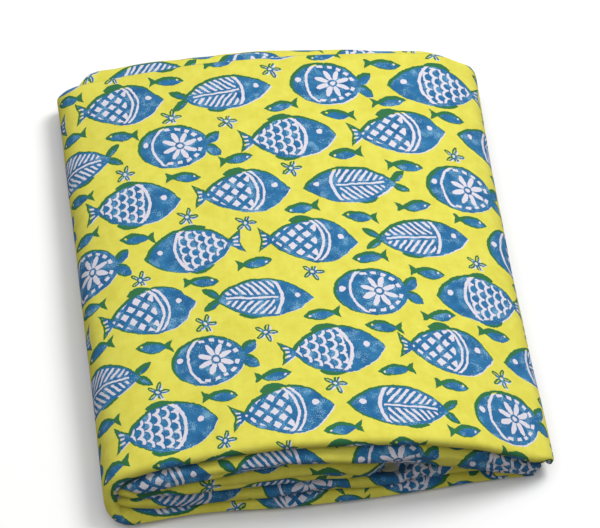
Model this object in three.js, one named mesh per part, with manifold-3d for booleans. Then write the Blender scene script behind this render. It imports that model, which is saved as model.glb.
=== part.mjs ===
// A length of block printed cotton, folded into a flat bundle and laid on a table.
// The outermost layer runs from the right-hand side over the top, round the left
// side and back underneath. Three inner folds show at the front, one at the back,
// and the layers that no one sees share one rounded solid with layered edges.
//
// Millimetres, +Z up. The front of the bundle faces -Y and the table is z = 0.
// The origin is the middle of the bundle's footprint, on the table.

import * as THREE from 'three';
import Module from 'manifold-3d';

const wasm = await Module();
wasm.setup();

// Driving sizes
const CLOTH_WALL = 1.6; // wall of every visible stretch of cloth
const SEAM_GAP = 0.3; // clearance between two stretches that lie on each other
const BUNDLE_LEAN = -0.0716; // sideways lean: x gained for each millimetre of y
const FOOTPRINT_MIDDLE = { x: -1.2, y: 0 }; // middle of the footprint in the tables' own frame
const HEM_RETURN = 15; // cloth that turns back under the front and back folds
const BACK_FOLD_RADIUS = 2.2; // radius of the outer layer's fold along the back
const FRONT_LEAF_END = -128; // y at which the leaves of the front folds end
const BACK_LEAF_END = 132; // y at which the leaves of the back fold end
const LEAF_FALL = 1.2; // height that an upper leaf loses on its way into the bundle
const NOSE_SLENDERNESS = 1.3; // depth of a fold's rounded front over half its height
const NOSE_DEPTH_MOST = 9; // deepest rounded front

// The outer layer's middle surface, followed from its right edge over the top,
// round the left side and along the underside. Each row gives [x, z] where the
// layer crosses the front, the middle and the back of the bundle, the y of its
// front and back folds, and the radius of its front fold.
const OUTER_LAYER = [
  { front: [141.8, 10.5], mid: [140.2, 15.0], back: [145.2, 13.0], yFront: -149.0, yBack: 154, fold: 1.8 },
  { front: [142.2, 15.0], mid: [140.0, 22.0], back: [145.0, 20.0], yFront: -149.2, yBack: 154, fold: 1.9 },
  { front: [138.0, 20.6], mid: [136.4, 30.5], back: [140.8, 29.0], yFront: -150.6, yBack: 154, fold: 2.5 },
  { front: [129.6, 24.8], mid: [128.6, 37.0], back: [130.8, 36.5], yFront: -152.0, yBack: 154, fold: 3.5 },
  { front: [119.3, 31.4], mid: [117.5, 42.5], back: [118.0, 44.4], yFront: -152.4, yBack: 154, fold: 3.5 },
  { front: [101.0, 43.2], mid: [99.0, 49.0], back: [98.0, 48.0], yFront: -152.3, yBack: 154, fold: 3.5 },
  { front: [80.0, 51.4], mid: [76.0, 53.6], back: [72.0, 50.4], yFront: -152.1, yBack: 154, fold: 3.5 },
  { front: [56.0, 58.2], mid: [50.0, 57.0], back: [46.0, 52.0], yFront: -151.9, yBack: 154, fold: 3.5 },
  { front: [26.0, 61.4], mid: [22.0, 59.2], back: [18.0, 52.6], yFront: -151.8, yBack: 154, fold: 3.5 },
  { front: [-6.0, 63.2], mid: [-8.0, 60.2], back: [-12.0, 52.0], yFront: -151.9, yBack: 154, fold: 3.5 },
  { front: [-36.0, 63.6], mid: [-38.0, 59.4], back: [-40.0, 49.8], yFront: -152.4, yBack: 154, fold: 3.5 },
  { front: [-62.0, 60.4], mid: [-64.0, 56.8], back: [-66.0, 46.2], yFront: -152.9, yBack: 154, fold: 3.5 },
  { front: [-84.0, 55.4], mid: [-87.0, 53.4], back: [-89.0, 42.2], yFront: -153.4, yBack: 154, fold: 3.5 },
  { front: [-106.0, 51.6], mid: [-108.0, 49.6], back: [-108.0, 38.0], yFront: -154.0, yBack: 154, fold: 3.5 },
  { front: [-122.5, 46.4], mid: [-124.0, 44.6], back: [-124.0, 34.0], yFront: -154.8, yBack: 154, fold: 3.5 },
  { front: [-136.3, 38.4], mid: [-136.5, 37.0], back: [-136.5, 29.0], yFront: -156.2, yBack: 154, fold: 3.5 },
  { front: [-143.6, 27.0], mid: [-143.2, 26.5], back: [-143.5, 21.0], yFront: -159.6, yBack: 154, fold: 3.5 },
  { front: [-144.6, 14.0], mid: [-143.2, 14.0], back: [-144.0, 12.0], yFront: -164.6, yBack: 156, fold: 3.5 },
  { front: [-139.6, 4.6], mid: [-138.4, 4.4], back: [-139.0, 4.0], yFront: -168.4, yBack: 157, fold: 3.5 },
  { front: [-128.0, 0.8], mid: [-127.0, 0.8], back: [-128.0, 0.8], yFront: -169.6, yBack: 159, fold: 3.5 },
  { front: [-86.0, 0.8], mid: [-86.0, 0.8], back: [-86.0, 0.8], yFront: -165.2, yBack: 160, fold: 3.6 },
  { front: [-22.0, 0.8], mid: [-22.0, 0.8], back: [-22.0, 0.8], yFront: -164.0, yBack: 160, fold: 3.0 },
  { front: [42.0, 0.8], mid: [42.0, 0.8], back: [42.0, 0.8], yFront: -159.7, yBack: 159, fold: 2.5 },
  { front: [84.0, 0.8], mid: [88.0, 0.8], back: [92.0, 0.8], yFront: -155.0, yBack: 158, fold: 1.9 },
  { front: [113.0, 0.8], mid: [128.0, 0.8], back: [134.0, 0.8], yFront: -153.0, yBack: 157, fold: 1.9 },
];
const HIGHEST_ROW = 9; // row at the crown of the bundle
const LEFT_SIDE_ROW = 16; // row at which the layer has turned down the left side

// The folds that show under the outer layer. Each row gives x, the height of the
// fold's lower and upper face, and the y that its rounded front or back reaches.
const UPPER_FRONT_FOLD = [
  { x: -129.5, low: 26.2, high: 31.0, reach: -158.5 },
  { x: -122.0, low: 27.2, high: 36.4, reach: -162.4 },
  { x: -112.0, low: 29.0, high: 41.4, reach: -162.6 },
  { x: -98.0, low: 32.6, high: 44.6, reach: -161.9 },
  { x: -80.0, low: 35.2, high: 48.0, reach: -161.1 },
  { x: -60.0, low: 38.6, high: 52.4, reach: -160.3 },
  { x: -36.0, low: 41.6, high: 55.4, reach: -159.2 },
  { x: -12.0, low: 43.0, high: 55.2, reach: -158.3 },
  { x: 8.0, low: 38.4, high: 54.0, reach: -158.0 },
  { x: 32.0, low: 34.0, high: 52.8, reach: -157.8 },
  { x: 56.0, low: 29.2, high: 49.6, reach: -157.6 },
  { x: 78.0, low: 21.6, high: 43.2, reach: -157.2 },
  { x: 98.0, low: 13.8, high: 35.2, reach: -156.8 },
  { x: 112.0, low: 8.0, high: 26.4, reach: -156.4 },
  { x: 122.0, low: 4.6, high: 17.9, reach: -156.0 },
  { x: 131.0, low: 3.2, high: 11.6, reach: -152.5 },
];

const MIDDLE_FRONT_FOLD = [
  { x: -126.0, low: 19.6, high: 26.2, reach: -155.0 },
  { x: -114.0, low: 19.4, high: 27.6, reach: -162.6 },
  { x: -98.0, low: 21.6, high: 31.4, reach: -163.2 },
  { x: -80.0, low: 22.6, high: 34.4, reach: -162.6 },
  { x: -62.0, low: 20.4, high: 37.4, reach: -161.8 },
  { x: -44.0, low: 18.6, high: 39.8, reach: -161.0 },
  { x: -24.0, low: 20.6, high: 41.4, reach: -160.2 },
  { x: -8.0, low: 22.4, high: 41.0, reach: -159.6 },
  { x: 8.0, low: 18.6, high: 37.2, reach: -158.6 },
  { x: 22.0, low: 17.4, high: 34.2, reach: -157.0 },
  { x: 32.0, low: 18.4, high: 31.8, reach: -151.5 },
  { x: 38.0, low: 20.0, high: 29.0, reach: -144.0 },
];

const LOWER_FRONT_FOLD = [
  { x: -122.0, low: 10.2, high: 18.0, reach: -156.0 },
  { x: -110.0, low: 9.4, high: 18.9, reach: -164.8 },
  { x: -92.0, low: 9.4, high: 20.6, reach: -164.6 },
  { x: -76.0, low: 9.6, high: 21.4, reach: -163.6 },
  { x: -56.0, low: 10.0, high: 18.8, reach: -162.6 },
  { x: -40.0, low: 8.8, high: 17.8, reach: -161.8 },
  { x: -26.0, low: 8.2, high: 19.4, reach: -161.0 },
  { x: -10.0, low: 9.4, high: 21.2, reach: -160.2 },
  { x: 12.0, low: 8.0, high: 17.4, reach: -158.6 },
  { x: 34.0, low: 7.2, high: 17.0, reach: -157.0 },
  { x: 50.0, low: 6.6, high: 21.8, reach: -154.6 },
  { x: 62.0, low: 6.4, high: 25.0, reach: -153.2 },
  { x: 78.0, low: 6.2, high: 20.2, reach: -151.6 },
  { x: 94.0, low: 6.0, high: 13.8, reach: -150.0 },
  { x: 102.0, low: 6.0, high: 10.6, reach: -147.5 },
];

const BACK_FOLD = [
  { x: -128.0, low: 17.0, high: 26.2, reach: 162.0 },
  { x: -120.0, low: 17.0, high: 29.6, reach: 168.6 },
  { x: -104.0, low: 19.0, high: 33.4, reach: 170.2 },
  { x: -84.0, low: 21.6, high: 37.8, reach: 170.2 },
  { x: -60.0, low: 25.2, high: 41.8, reach: 169.8 },
  { x: -36.0, low: 28.6, high: 44.8, reach: 169.0 },
  { x: -8.0, low: 30.8, high: 46.8, reach: 168.2 },
  { x: 22.0, low: 31.2, high: 47.2, reach: 167.2 },
  { x: 54.0, low: 30.4, high: 46.2, reach: 166.0 },
  { x: 86.0, low: 27.4, high: 43.4, reach: 165.2 },
  { x: 110.0, low: 23.6, high: 40.2, reach: 164.2 },
  { x: 124.0, low: 20.6, high: 34.8, reach: 162.4 },
  { x: 132.0, low: 20.8, high: 28.6, reach: 156.0 },
];

// The hidden layers: a rounded block whose right and back sides are scalloped by
// the edges of the layers that it stands for.
const HIDDEN_LAYERS = {
  left: -137,
  right: 140.5,
  front: -146,
  back: 155.5,
  cornerRadius: 14,
  edges: 5, // layer edges that show one above the other
  scallop: 2.6, // how far an edge stands out from the groove beside it
};

const COLOURS = {
  outer_layer: 0xe6dd68,
  front_fold_upper: 0x2f6a86,
  front_fold_middle: 0xa79f3a,
  front_fold_lower: 0x8a8430,
  back_fold: 0xd6cb57,
  hidden_layers: 0xcfc65a,
};

// Smooth value at a place between the rows of a table: a cubic through the rows,
// each row's slope taken from its two neighbours.
function smoothValue(rows, places, read, place) {
  const last = rows.length - 1;
  let row = 0;
  while (row < last - 1 && place > places[row + 1]) row += 1;
  const slope = (index) => {
    const before = Math.max(0, index - 1);
    const after = Math.min(last, index + 1);
    return (read(rows[after]) - read(rows[before])) / (places[after] - places[before]);
  };
  const span = places[row + 1] - places[row];
  const t = (place - places[row]) / span;
  const rise = t * t * (3 - 2 * t);
  const start = read(rows[row]) * (1 - rise) + slope(row) * span * t * (1 - t) * (1 - t);
  const end = read(rows[row + 1]) * rise - slope(row + 1) * span * t * t * (1 - t);
  return start + end;
}

// Places along a table, with the same number of steps between each two rows
function placesAlong(places, steps) {
  const result = [places[0]];
  for (let row = 1; row < places.length; row += 1) {
    for (let step = 1; step <= steps; step += 1) {
      result.push(THREE.MathUtils.lerp(places[row - 1], places[row], step / steps));
    }
  }
  return result;
}

// The parabola through three values, at v = 0, 1/2 and 1
function parabola([first, middle, last], v) {
  return first * (1 - v) * (1 - 2 * v) + middle * 4 * v * (1 - v) + last * v * (2 * v - 1);
}

// A point of the bundle, which leans sideways and is centred on its footprint
function bundlePoint(x, y, z) {
  const leaned = x + BUNDLE_LEAN * y;
  return new THREE.Vector3(leaned - FOOTPRINT_MIDDLE.x, y - FOOTPRINT_MIDDLE.y, z);
}

// The outer layer

// Distance of each row along the layer, measured at the middle of the bundle
function distancesAlong(rows) {
  const distances = [0];
  for (let row = 1; row < rows.length; row += 1) {
    const [x, z] = rows[row].mid;
    const [xBefore, zBefore] = rows[row - 1].mid;
    distances.push(distances[row - 1] + Math.hypot(x - xBefore, z - zBefore));
  }
  return distances;
}
const outerPlaces = distancesAlong(OUTER_LAYER);

// Where the layer crosses the plane at v, from the front fold (0) to the back (1)
function outerCrossing(place, v) {
  const at = (read) => smoothValue(OUTER_LAYER, outerPlaces, read, place);
  const across = (axis) => {
    const three = [at((r) => r.front[axis]), at((r) => r.mid[axis]), at((r) => r.back[axis])];
    return parabola(three, v);
  };
  return new THREE.Vector2(across(0), Math.max(across(1), CLOTH_WALL / 2));
}

// The direction from the layer into the bundle, in that plane
function inwardDirection(place, v) {
  const nudge = 0.5;
  const start = Math.max(outerPlaces[0], place - nudge);
  const end = Math.min(outerPlaces[outerPlaces.length - 1], place + nudge);
  const run = outerCrossing(end, v).sub(outerCrossing(start, v)).normalize();
  return new THREE.Vector2(-run.y, run.x);
}

// One line of the layer, from the cloth turned under at the front, round the front
// fold, over the layer and round the back fold to the cloth turned under there
function outerLine(place) {
  const foldSteps = 4;
  const panelSteps = 8;
  const radius = smoothValue(OUTER_LAYER, outerPlaces, (r) => r.fold, place);
  const yFront = smoothValue(OUTER_LAYER, outerPlaces, (r) => r.yFront, place) + radius;
  const yBack = smoothValue(OUTER_LAYER, outerPlaces, (r) => r.yBack, place) - BACK_FOLD_RADIUS;
  const line = [];
  const add = (v, y, inward) => {
    const crossing = outerCrossing(place, v).addScaledVector(inwardDirection(place, v), inward);
    line.push(bundlePoint(crossing.x, y, crossing.y));
  };
  add(0, yFront + HEM_RETURN, 2 * radius);
  for (let step = 0; step <= foldSteps; step += 1) {
    const turn = Math.PI * (1 - step / foldSteps);
    add(0, yFront - radius * Math.sin(turn), radius * (1 - Math.cos(turn)));
  }
  for (let step = 1; step < panelSteps; step += 1) {
    const v = step / panelSteps;
    add(v, THREE.MathUtils.lerp(yFront, yBack, v), 0);
  }
  for (let step = 0; step <= foldSteps; step += 1) {
    const turn = (Math.PI * step) / foldSteps;
    add(1, yBack + BACK_FOLD_RADIUS * Math.sin(turn), BACK_FOLD_RADIUS * (1 - Math.cos(turn)));
  }
  add(1, yBack - HEM_RETURN, 2 * BACK_FOLD_RADIUS);
  return line;
}

// Height of the outer layer's middle surface above a point inside the bundle
function roofAbove(x, y) {
  const { yFront, yBack } = OUTER_LAYER[HIGHEST_ROW];
  const v = THREE.MathUtils.clamp((y - yFront) / (yBack - yFront), 0, 1);
  const halvings = 20;
  let start = outerPlaces[1];
  let end = outerPlaces[LEFT_SIDE_ROW];
  for (let halving = 0; halving < halvings; halving += 1) {
    const middle = (start + end) / 2;
    if (outerCrossing(middle, v).x > x) start = middle;
    else end = middle;
  }
  return outerCrossing(start, v).y;
}

// The inner folds

// Lines round a fold at each x: its upper leaf, its rounded nose and its lower leaf
function foldGrid(rows, leafEnd) {
  const noseSteps = 6;
  const places = rows.map((row) => row.x);
  const outward = Math.sign(leafEnd);
  return placesAlong(places, 2).map((x) => {
    const low = smoothValue(rows, places, (r) => r.low, x) + CLOTH_WALL / 2;
    const high = smoothValue(rows, places, (r) => r.high, x) - CLOTH_WALL / 2;
    const reach = smoothValue(rows, places, (r) => r.reach, x) - (outward * CLOTH_WALL) / 2;
    const halfHeight = (high - low) / 2;
    const noseDepth = Math.min(NOSE_SLENDERNESS * halfHeight, NOSE_DEPTH_MOST);
    const line = [bundlePoint(x, leafEnd, high - LEAF_FALL)];
    for (let step = 0; step <= noseSteps; step += 1) {
      const turn = (Math.PI * step) / noseSteps;
      const y = reach - outward * noseDepth * (1 - Math.sin(turn));
      line.push(bundlePoint(x, y, low + halfHeight * (1 + Math.cos(turn))));
    }
    line.push(bundlePoint(x, leafEnd, low - LEAF_FALL / 2));
    return line;
  });
}

// Closed walls

// The grid with its four borders pushed outwards
function withWiderBorders(grid, distance) {
  const points = grid.map((line) => line.map((point) => point.clone()));
  const push = (border, next) => border.add(border.clone().sub(next).setLength(distance));
  for (const line of points) {
    push(line[0], line[1]);
    push(line[line.length - 1], line[line.length - 2]);
  }
  const [first, second] = points;
  const [beforeLast, last] = points.slice(-2);
  first.forEach((point, column) => push(point, second[column]));
  last.forEach((point, column) => push(point, beforeLast[column]));
  return points;
}

// The points of the grid moved along its normals
function movedAlongNormals(grid, distance) {
  const lastLine = grid.length - 1;
  const lastColumn = grid[0].length - 1;
  return grid.flatMap((line, index) => line.map((point, column) => {
    const before = grid[Math.max(0, index - 1)][column];
    const after = grid[Math.min(lastLine, index + 1)][column];
    const along = after.clone().sub(before);
    const across = line[Math.min(lastColumn, column + 1)].clone();
    across.sub(line[Math.max(0, column - 1)]);
    return point.clone().addScaledVector(along.cross(across).normalize(), distance);
  }));
}

// A closed wall round a grid of points, its faces pointing out
function clothWall(grid, thickness) {
  const faces = movedAlongNormals(grid, thickness / 2);
  const backs = movedAlongNormals(grid, -thickness / 2);
  const lines = grid.length;
  const columns = grid[0].length;
  const face = (line, column) => line * columns + column;
  const back = (line, column) => faces.length + face(line, column);
  const triangles = [];
  const quad = (a, b, c, d) => triangles.push(a, b, c, a, c, d);
  for (let line = 0; line < lines - 1; line += 1) {
    const next = line + 1;
    for (let column = 0; column < columns - 1; column += 1) {
      const right = column + 1;
      quad(face(line, column), face(next, column), face(next, right), face(line, right));
      quad(back(line, column), back(line, right), back(next, right), back(next, column));
    }
    const end = columns - 1;
    quad(face(next, 0), face(line, 0), back(line, 0), back(next, 0));
    quad(face(line, end), face(next, end), back(next, end), back(line, end));
  }
  for (let column = 0; column < columns - 1; column += 1) {
    const right = column + 1;
    const end = lines - 1;
    quad(face(0, column), face(0, right), back(0, right), back(0, column));
    quad(face(end, right), face(end, column), back(end, column), back(end, right));
  }
  return facingOut({ vertices: [...faces, ...backs], triangles });
}

function facingOut({ vertices, triangles }) {
  let sixVolumes = 0;
  for (let corner = 0; corner < triangles.length; corner += 3) {
    const [a, b, c] = triangles.slice(corner, corner + 3).map((index) => vertices[index]);
    sixVolumes += a.dot(b.clone().cross(c));
  }
  if (sixVolumes < 0) triangles.reverse();
  return { vertices, triangles };
}

// The hidden layers

// The block's outline seen from above, with its outward directions
function roundedOutline({ left, right, front, back, cornerRadius }) {
  const cornerSteps = 3;
  const sideSteps = 6;
  const corners = [
    { x: right - cornerRadius, y: front + cornerRadius },
    { x: right - cornerRadius, y: back - cornerRadius },
    { x: left + cornerRadius, y: back - cornerRadius },
    { x: left + cornerRadius, y: front + cornerRadius },
  ];
  const outline = [];
  corners.forEach((corner, index) => {
    const next = corners[(index + 1) % corners.length];
    let direction;
    for (let step = 0; step <= cornerSteps; step += 1) {
      const angle = (Math.PI / 2) * (index - 1 + step / cornerSteps);
      direction = new THREE.Vector2(Math.cos(angle), Math.sin(angle));
      const x = corner.x + cornerRadius * direction.x;
      const y = corner.y + cornerRadius * direction.y;
      outline.push({ x, y, direction });
    }
    for (let step = 1; step < sideSteps; step += 1) {
      const share = step / sideSteps;
      const x = THREE.MathUtils.lerp(corner.x, next.x, share) + cornerRadius * direction.x;
      const y = THREE.MathUtils.lerp(corner.y, next.y, share) + cornerRadius * direction.y;
      outline.push({ x, y, direction });
    }
  });
  return outline;
}

// Rings from the block's floor up its sides, then inwards over its roof
function hiddenBlock() {
  const { left, right, front, back, edges, scallop } = HIDDEN_LAYERS;
  const outline = roundedOutline(HIDDEN_LAYERS);
  const middle = { x: (left + right) / 2, y: (front + back) / 2 };
  const levelsPerEdge = 4;
  const roofShares = [0.9, 0.7, 0.45, 0.2];
  const floor = CLOTH_WALL + 2 * SEAM_GAP;
  const roofClearance = CLOTH_WALL / 2 + 3 * SEAM_GAP;
  const point = (x, y, level) => {
    const roof = roofAbove(x, y) - roofClearance;
    return bundlePoint(x, y, THREE.MathUtils.lerp(floor, roof, level));
  };
  const ring = (level, inset, share) => outline.map(({ x, y, direction }) => {
    const open = inset * Math.max(0, direction.x, direction.y);
    const xInset = x - open * direction.x;
    const yInset = y - open * direction.y;
    const xShare = THREE.MathUtils.lerp(middle.x, xInset, share);
    const yShare = THREE.MathUtils.lerp(middle.y, yInset, share);
    return point(xShare, yShare, level);
  });
  const rings = [];
  const levels = edges * levelsPerEdge;
  for (let level = 0; level <= levels; level += 1) {
    const bulge = Math.sin((Math.PI * (level % levelsPerEdge)) / levelsPerEdge);
    rings.push(ring(level / levels, scallop * (1 - bulge), 1));
  }
  for (const share of roofShares) rings.push(ring(1, scallop, share));
  return closedRings(rings, point(middle.x, middle.y, 0), point(middle.x, middle.y, 1));
}

// A closed solid through rings, with a point at each end
function closedRings(rings, bottom, top) {
  const count = rings[0].length;
  const vertices = [bottom, ...rings.flat(), top];
  const at = (ring, index) => 1 + ring * count + (index % count);
  const lastRing = rings.length - 1;
  const triangles = [];
  for (let index = 0; index < count; index += 1) {
    const next = index + 1;
    triangles.push(0, at(0, next), at(0, index));
    for (let ring = 0; ring < lastRing; ring += 1) {
      triangles.push(at(ring, index), at(ring, next), at(ring + 1, next));
      triangles.push(at(ring, index), at(ring + 1, next), at(ring + 1, index));
    }
    triangles.push(at(lastRing, index), at(lastRing, next), vertices.length - 1);
  }
  return { vertices, triangles };
}

function solidOf({ vertices, triangles }) {
  const vertProperties = new Float32Array(vertices.flatMap((vertex) => vertex.toArray()));
  const triVerts = new Uint32Array(triangles);
  return new wasm.Manifold(new wasm.Mesh({ numProp: 3, vertProperties, triVerts }));
}

function geometryOf(solid) {
  const { vertProperties, triVerts } = solid.getMesh();
  const geometry = new THREE.BufferGeometry();
  geometry.setAttribute('position', new THREE.BufferAttribute(vertProperties, 3));
  geometry.setIndex(new THREE.BufferAttribute(triVerts, 1));
  return geometry;
}

// What is left of the block inside the cloth: each stretch is cut out of it with
// its clearance, and the largest piece is kept
function hiddenLayers(clothGrids) {
  let block = solidOf(hiddenBlock());
  for (const grid of clothGrids) {
    const clearance = clothWall(withWiderBorders(grid, SEAM_GAP), CLOTH_WALL + 2 * SEAM_GAP);
    block = block.subtract(solidOf(clearance));
  }
  const [largest] = block.decompose().sort((a, b) => b.volume() - a.volume());
  return largest;
}

function clothMesh(name, solid) {
  const color = COLOURS[name];
  const material = new THREE.MeshStandardMaterial({ color, roughness: 0.9, metalness: 0 });
  const mesh = new THREE.Mesh(geometryOf(solid), material);
  mesh.name = name;
  return mesh;
}

const clothGrids = {
  outer_layer: placesAlong(outerPlaces, 2).map(outerLine),
  front_fold_upper: foldGrid(UPPER_FRONT_FOLD, FRONT_LEAF_END),
  front_fold_middle: foldGrid(MIDDLE_FRONT_FOLD, FRONT_LEAF_END),
  front_fold_lower: foldGrid(LOWER_FRONT_FOLD, FRONT_LEAF_END),
  back_fold: foldGrid(BACK_FOLD, BACK_LEAF_END),
};

const bundle = new THREE.Group();
for (const [name, grid] of Object.entries(clothGrids)) {
  bundle.add(clothMesh(name, solidOf(clothWall(grid, CLOTH_WALL))));
}
bundle.add(clothMesh('hidden_layers', hiddenLayers(Object.values(clothGrids))));

export default bundle;
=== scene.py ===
# %% [markdown]
# # A folded length of block printed cotton
#
# A shopkeeper folds a length of dress cotton in four across its width and in eight along
# its length, and lays the bundle on the counter. One continuous layer wraps the outside:
# over the top, round the closed left side and flat underneath. Inner folds show at the
# front and the back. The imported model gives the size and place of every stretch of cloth.
# This scene keeps those places and gives each stretch a thin, creased sheet with its print.

# %% Load the fixed frame
import functools
import math

import bpy
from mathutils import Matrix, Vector, noise


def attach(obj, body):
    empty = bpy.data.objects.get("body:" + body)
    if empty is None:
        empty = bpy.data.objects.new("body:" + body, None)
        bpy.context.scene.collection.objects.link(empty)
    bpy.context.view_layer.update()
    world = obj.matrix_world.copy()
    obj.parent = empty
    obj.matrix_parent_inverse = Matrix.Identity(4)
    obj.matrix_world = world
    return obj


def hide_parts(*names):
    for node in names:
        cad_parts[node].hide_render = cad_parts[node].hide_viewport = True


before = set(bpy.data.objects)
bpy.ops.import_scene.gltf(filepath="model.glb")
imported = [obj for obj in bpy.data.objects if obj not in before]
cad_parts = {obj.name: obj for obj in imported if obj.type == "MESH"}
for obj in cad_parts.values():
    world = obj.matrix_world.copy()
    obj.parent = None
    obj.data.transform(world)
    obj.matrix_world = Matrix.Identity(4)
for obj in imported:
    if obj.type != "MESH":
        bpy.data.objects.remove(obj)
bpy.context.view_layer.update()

MM = 0.001  # the tables below are in millimetres, and Blender works in metres


def deselect_all():
    for thing in bpy.context.selected_objects:
        thing.select_set(False)


# %% [markdown]
# ## The camera
#
# The bundle is seen from above and in front, as someone at a counter sees it. A long lens
# from far away keeps the sides nearly parallel. The camera is added first, because the
# size of every crease is chosen for how it looks from here. It could be placed by dragging;
# an azimuth, an elevation and a distance are easier to read and to change.

# %% Camera
CAMERA_AZIMUTH = math.radians(-4.1)
CAMERA_ELEVATION = math.radians(58)
CAMERA_DISTANCE = 1.8
CAMERA_TARGET = Vector((0.0028, 0.0035, 0.025))
CAMERA_LENS = 163  # millimetres, and so is the sensor's width
CAMERA_SENSOR = 36

towards_camera = Vector((
    math.sin(CAMERA_AZIMUTH) * math.cos(CAMERA_ELEVATION),
    -math.cos(CAMERA_AZIMUTH) * math.cos(CAMERA_ELEVATION),
    math.sin(CAMERA_ELEVATION),
))
deselect_all()
bpy.ops.object.camera_add(
    location=CAMERA_TARGET + CAMERA_DISTANCE * towards_camera,
    rotation=towards_camera.to_track_quat("Z", "Y").to_euler(),
)
camera = bpy.context.object
camera.data.lens = CAMERA_LENS
camera.data.sensor_width = CAMERA_SENSOR
bpy.context.scene.camera = camera
print("Camera at", [round(value, 3) for value in camera.location])

# %% [markdown]
# ## Sums as nodes
#
# The room's light and the print are made with arithmetic. In the print, a shape is a
# distance in millimetres that is negative inside and positive outside, and a union is the
# smaller of two distances. In Blender such sums are Math nodes, and wiring hundreds of them
# by hand would hide the idea. So a small class stands for a wire: a sum written on wires
# adds the Math node that computes it.


# %% Wires
class Wire:
    """A number on its way through a node tree."""

    def __init__(self, tree, socket):
        self.tree = tree
        self.socket = socket

    def maths(self, operation, *others, clamp=False):
        node = self.tree.nodes.new("ShaderNodeMath")
        node.operation = operation
        node.use_clamp = clamp
        for socket, value in zip(node.inputs, (self, *others)):
            plug(self.tree, value, socket)
        return Wire(self.tree, node.outputs[0])

    def __add__(self, other):
        return self.maths("ADD", other)

    def __sub__(self, other):
        return self.maths("SUBTRACT", other)

    def __mul__(self, other):
        return self.maths("MULTIPLY", other)

    def __truediv__(self, other):
        return self.maths("DIVIDE", other)

    def __neg__(self):
        return self.maths("MULTIPLY", -1)

    def __abs__(self):
        return self.maths("ABSOLUTE")

    def minus_from(self, number):
        return (-self).maths("ADD", number)


def plug(tree, value, socket):
    if isinstance(value, Wire):
        tree.links.new(value.socket, socket)
    else:
        socket.default_value = value


def split_vector(tree, vector):
    node = tree.nodes.new("ShaderNodeSeparateXYZ")
    plug(tree, vector, node.inputs[0])
    return [Wire(tree, socket) for socket in node.outputs]


def mixed(tree, factor, first, second):
    """A Mix node for colours. first and second are colours or colour wires."""
    node = tree.nodes.new("ShaderNodeMix")
    node.data_type = "RGBA"
    plug(tree, factor, node.inputs["Factor"])
    plug(tree, first, node.inputs[6])
    plug(tree, second, node.inputs[7])
    return Wire(tree, node.outputs[2])


# %% [markdown]
# ## Floor and light
#
# The cloth lies on a white table in a pale room. One large soft light stands high up, to the
# right and behind, so the top is bright and the folds at the front lie in soft shadow. The
# room is brightest overhead and dims towards the horizon, more so in front and to the
# right. A picture of a studio could light the cloth as well, but a sum of the direction is
# even and needs no file. The table is white to the camera but throws little light back,
# which keeps the hollows in the front dark. Colours are shown as they are, with no film
# curve, so that the dyes keep their strength.

# %% Floor, light and world
FLOOR_SIZE = 6.0
FLOOR_CLEARANCE = 0.2 * MM
FLOOR_ROUGHNESS = 0.7
FLOOR_AS_SEEN = (0.93, 0.93, 0.93, 1)
FLOOR_AS_LIGHT = (0.22, 0.21, 0.20, 1)  # the colour that it throws back on the cloth

KEY_PLACE = Vector((0.8, 0.5, 1.6))
KEY_SIZE = 0.8
KEY_WATTS = 19

OVERHEAD_LIGHT = 1.24
HORIZON_LIGHT = 0.02
DIMMING = 1.6  # the higher this power, the sooner the room dims below the ceiling
MORE_ON_THE_LEFT, MORE_BEHIND = 0.2, 0.3  # the shares by which these sides are brighter


def table_top():
    """White to the camera, and dark grey to the light that comes back to the cloth."""
    material = bpy.data.materials.new("pale_table")
    material.use_nodes = True
    tree = material.node_tree
    shader = tree.nodes["Principled BSDF"]
    shader.inputs["Roughness"].default_value = FLOOR_ROUGHNESS
    to_camera = tree.nodes.new("ShaderNodeLightPath").outputs["Is Camera Ray"]
    colour = mixed(tree, Wire(tree, to_camera), FLOOR_AS_LIGHT, FLOOR_AS_SEEN)
    plug(tree, colour, shader.inputs["Base Color"])
    return material


def pale_room():
    """A world whose light depends on the direction that it comes from."""
    world = bpy.data.worlds.new("pale_room")
    world.use_nodes = True
    tree = world.node_tree
    backdrop = tree.nodes["Background"]
    backdrop.inputs["Color"].default_value = (1, 1, 1, 1)
    direction = tree.nodes.new("ShaderNodeTexCoord").outputs["Generated"]
    right, back, up = split_vector(tree, Wire(tree, direction))
    height = up.maths("POWER", DIMMING, clamp=True)
    ceiling = height * (OVERHEAD_LIGHT - HORIZON_LIGHT) + HORIZON_LIGHT
    side = right * -MORE_ON_THE_LEFT + back * MORE_BEHIND + 1
    plug(tree, ceiling * side, backdrop.inputs["Strength"])
    return world


deselect_all()
bpy.ops.mesh.primitive_plane_add(size=FLOOR_SIZE, location=(0, 0, -FLOOR_CLEARANCE))
floor = bpy.context.object
floor.name = "pale_table"
floor.data.materials.append(table_top())

deselect_all()
bpy.ops.object.light_add(
    type="AREA", location=KEY_PLACE, rotation=KEY_PLACE.to_track_quat("Z", "Y").to_euler()
)
key_light = bpy.context.object
key_light.name = "key_light"
key_light.data.shape = "DISK"
key_light.data.size = KEY_SIZE
key_light.data.energy = KEY_WATTS

bpy.context.scene.world = pale_room()
bpy.context.scene.view_settings.view_transform = "Standard"

# %% [markdown]
# ## Carving the motifs
#
# A printer cuts each figure in relief on a teak block: what is left standing prints, and
# every carved line stays the colour of the cloth. The figures here are plain fish such as
# any block cutter might draw, each in a group of its own that takes a place in millimetres
# and puts out three distances: the standing shape, the carved lines, and the hole that the
# ground colour's block leaves for the figure. An image texture would be simpler, but it
# has one resolution, while these edges stay sharp at any size.


# %% Sums for shapes
def least(first, *others):
    for other in others:
        first = first.maths("MINIMUM", other)
    return first


def most(first, *others):
    for other in others:
        first = first.maths("MAXIMUM", other)
    return first


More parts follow.
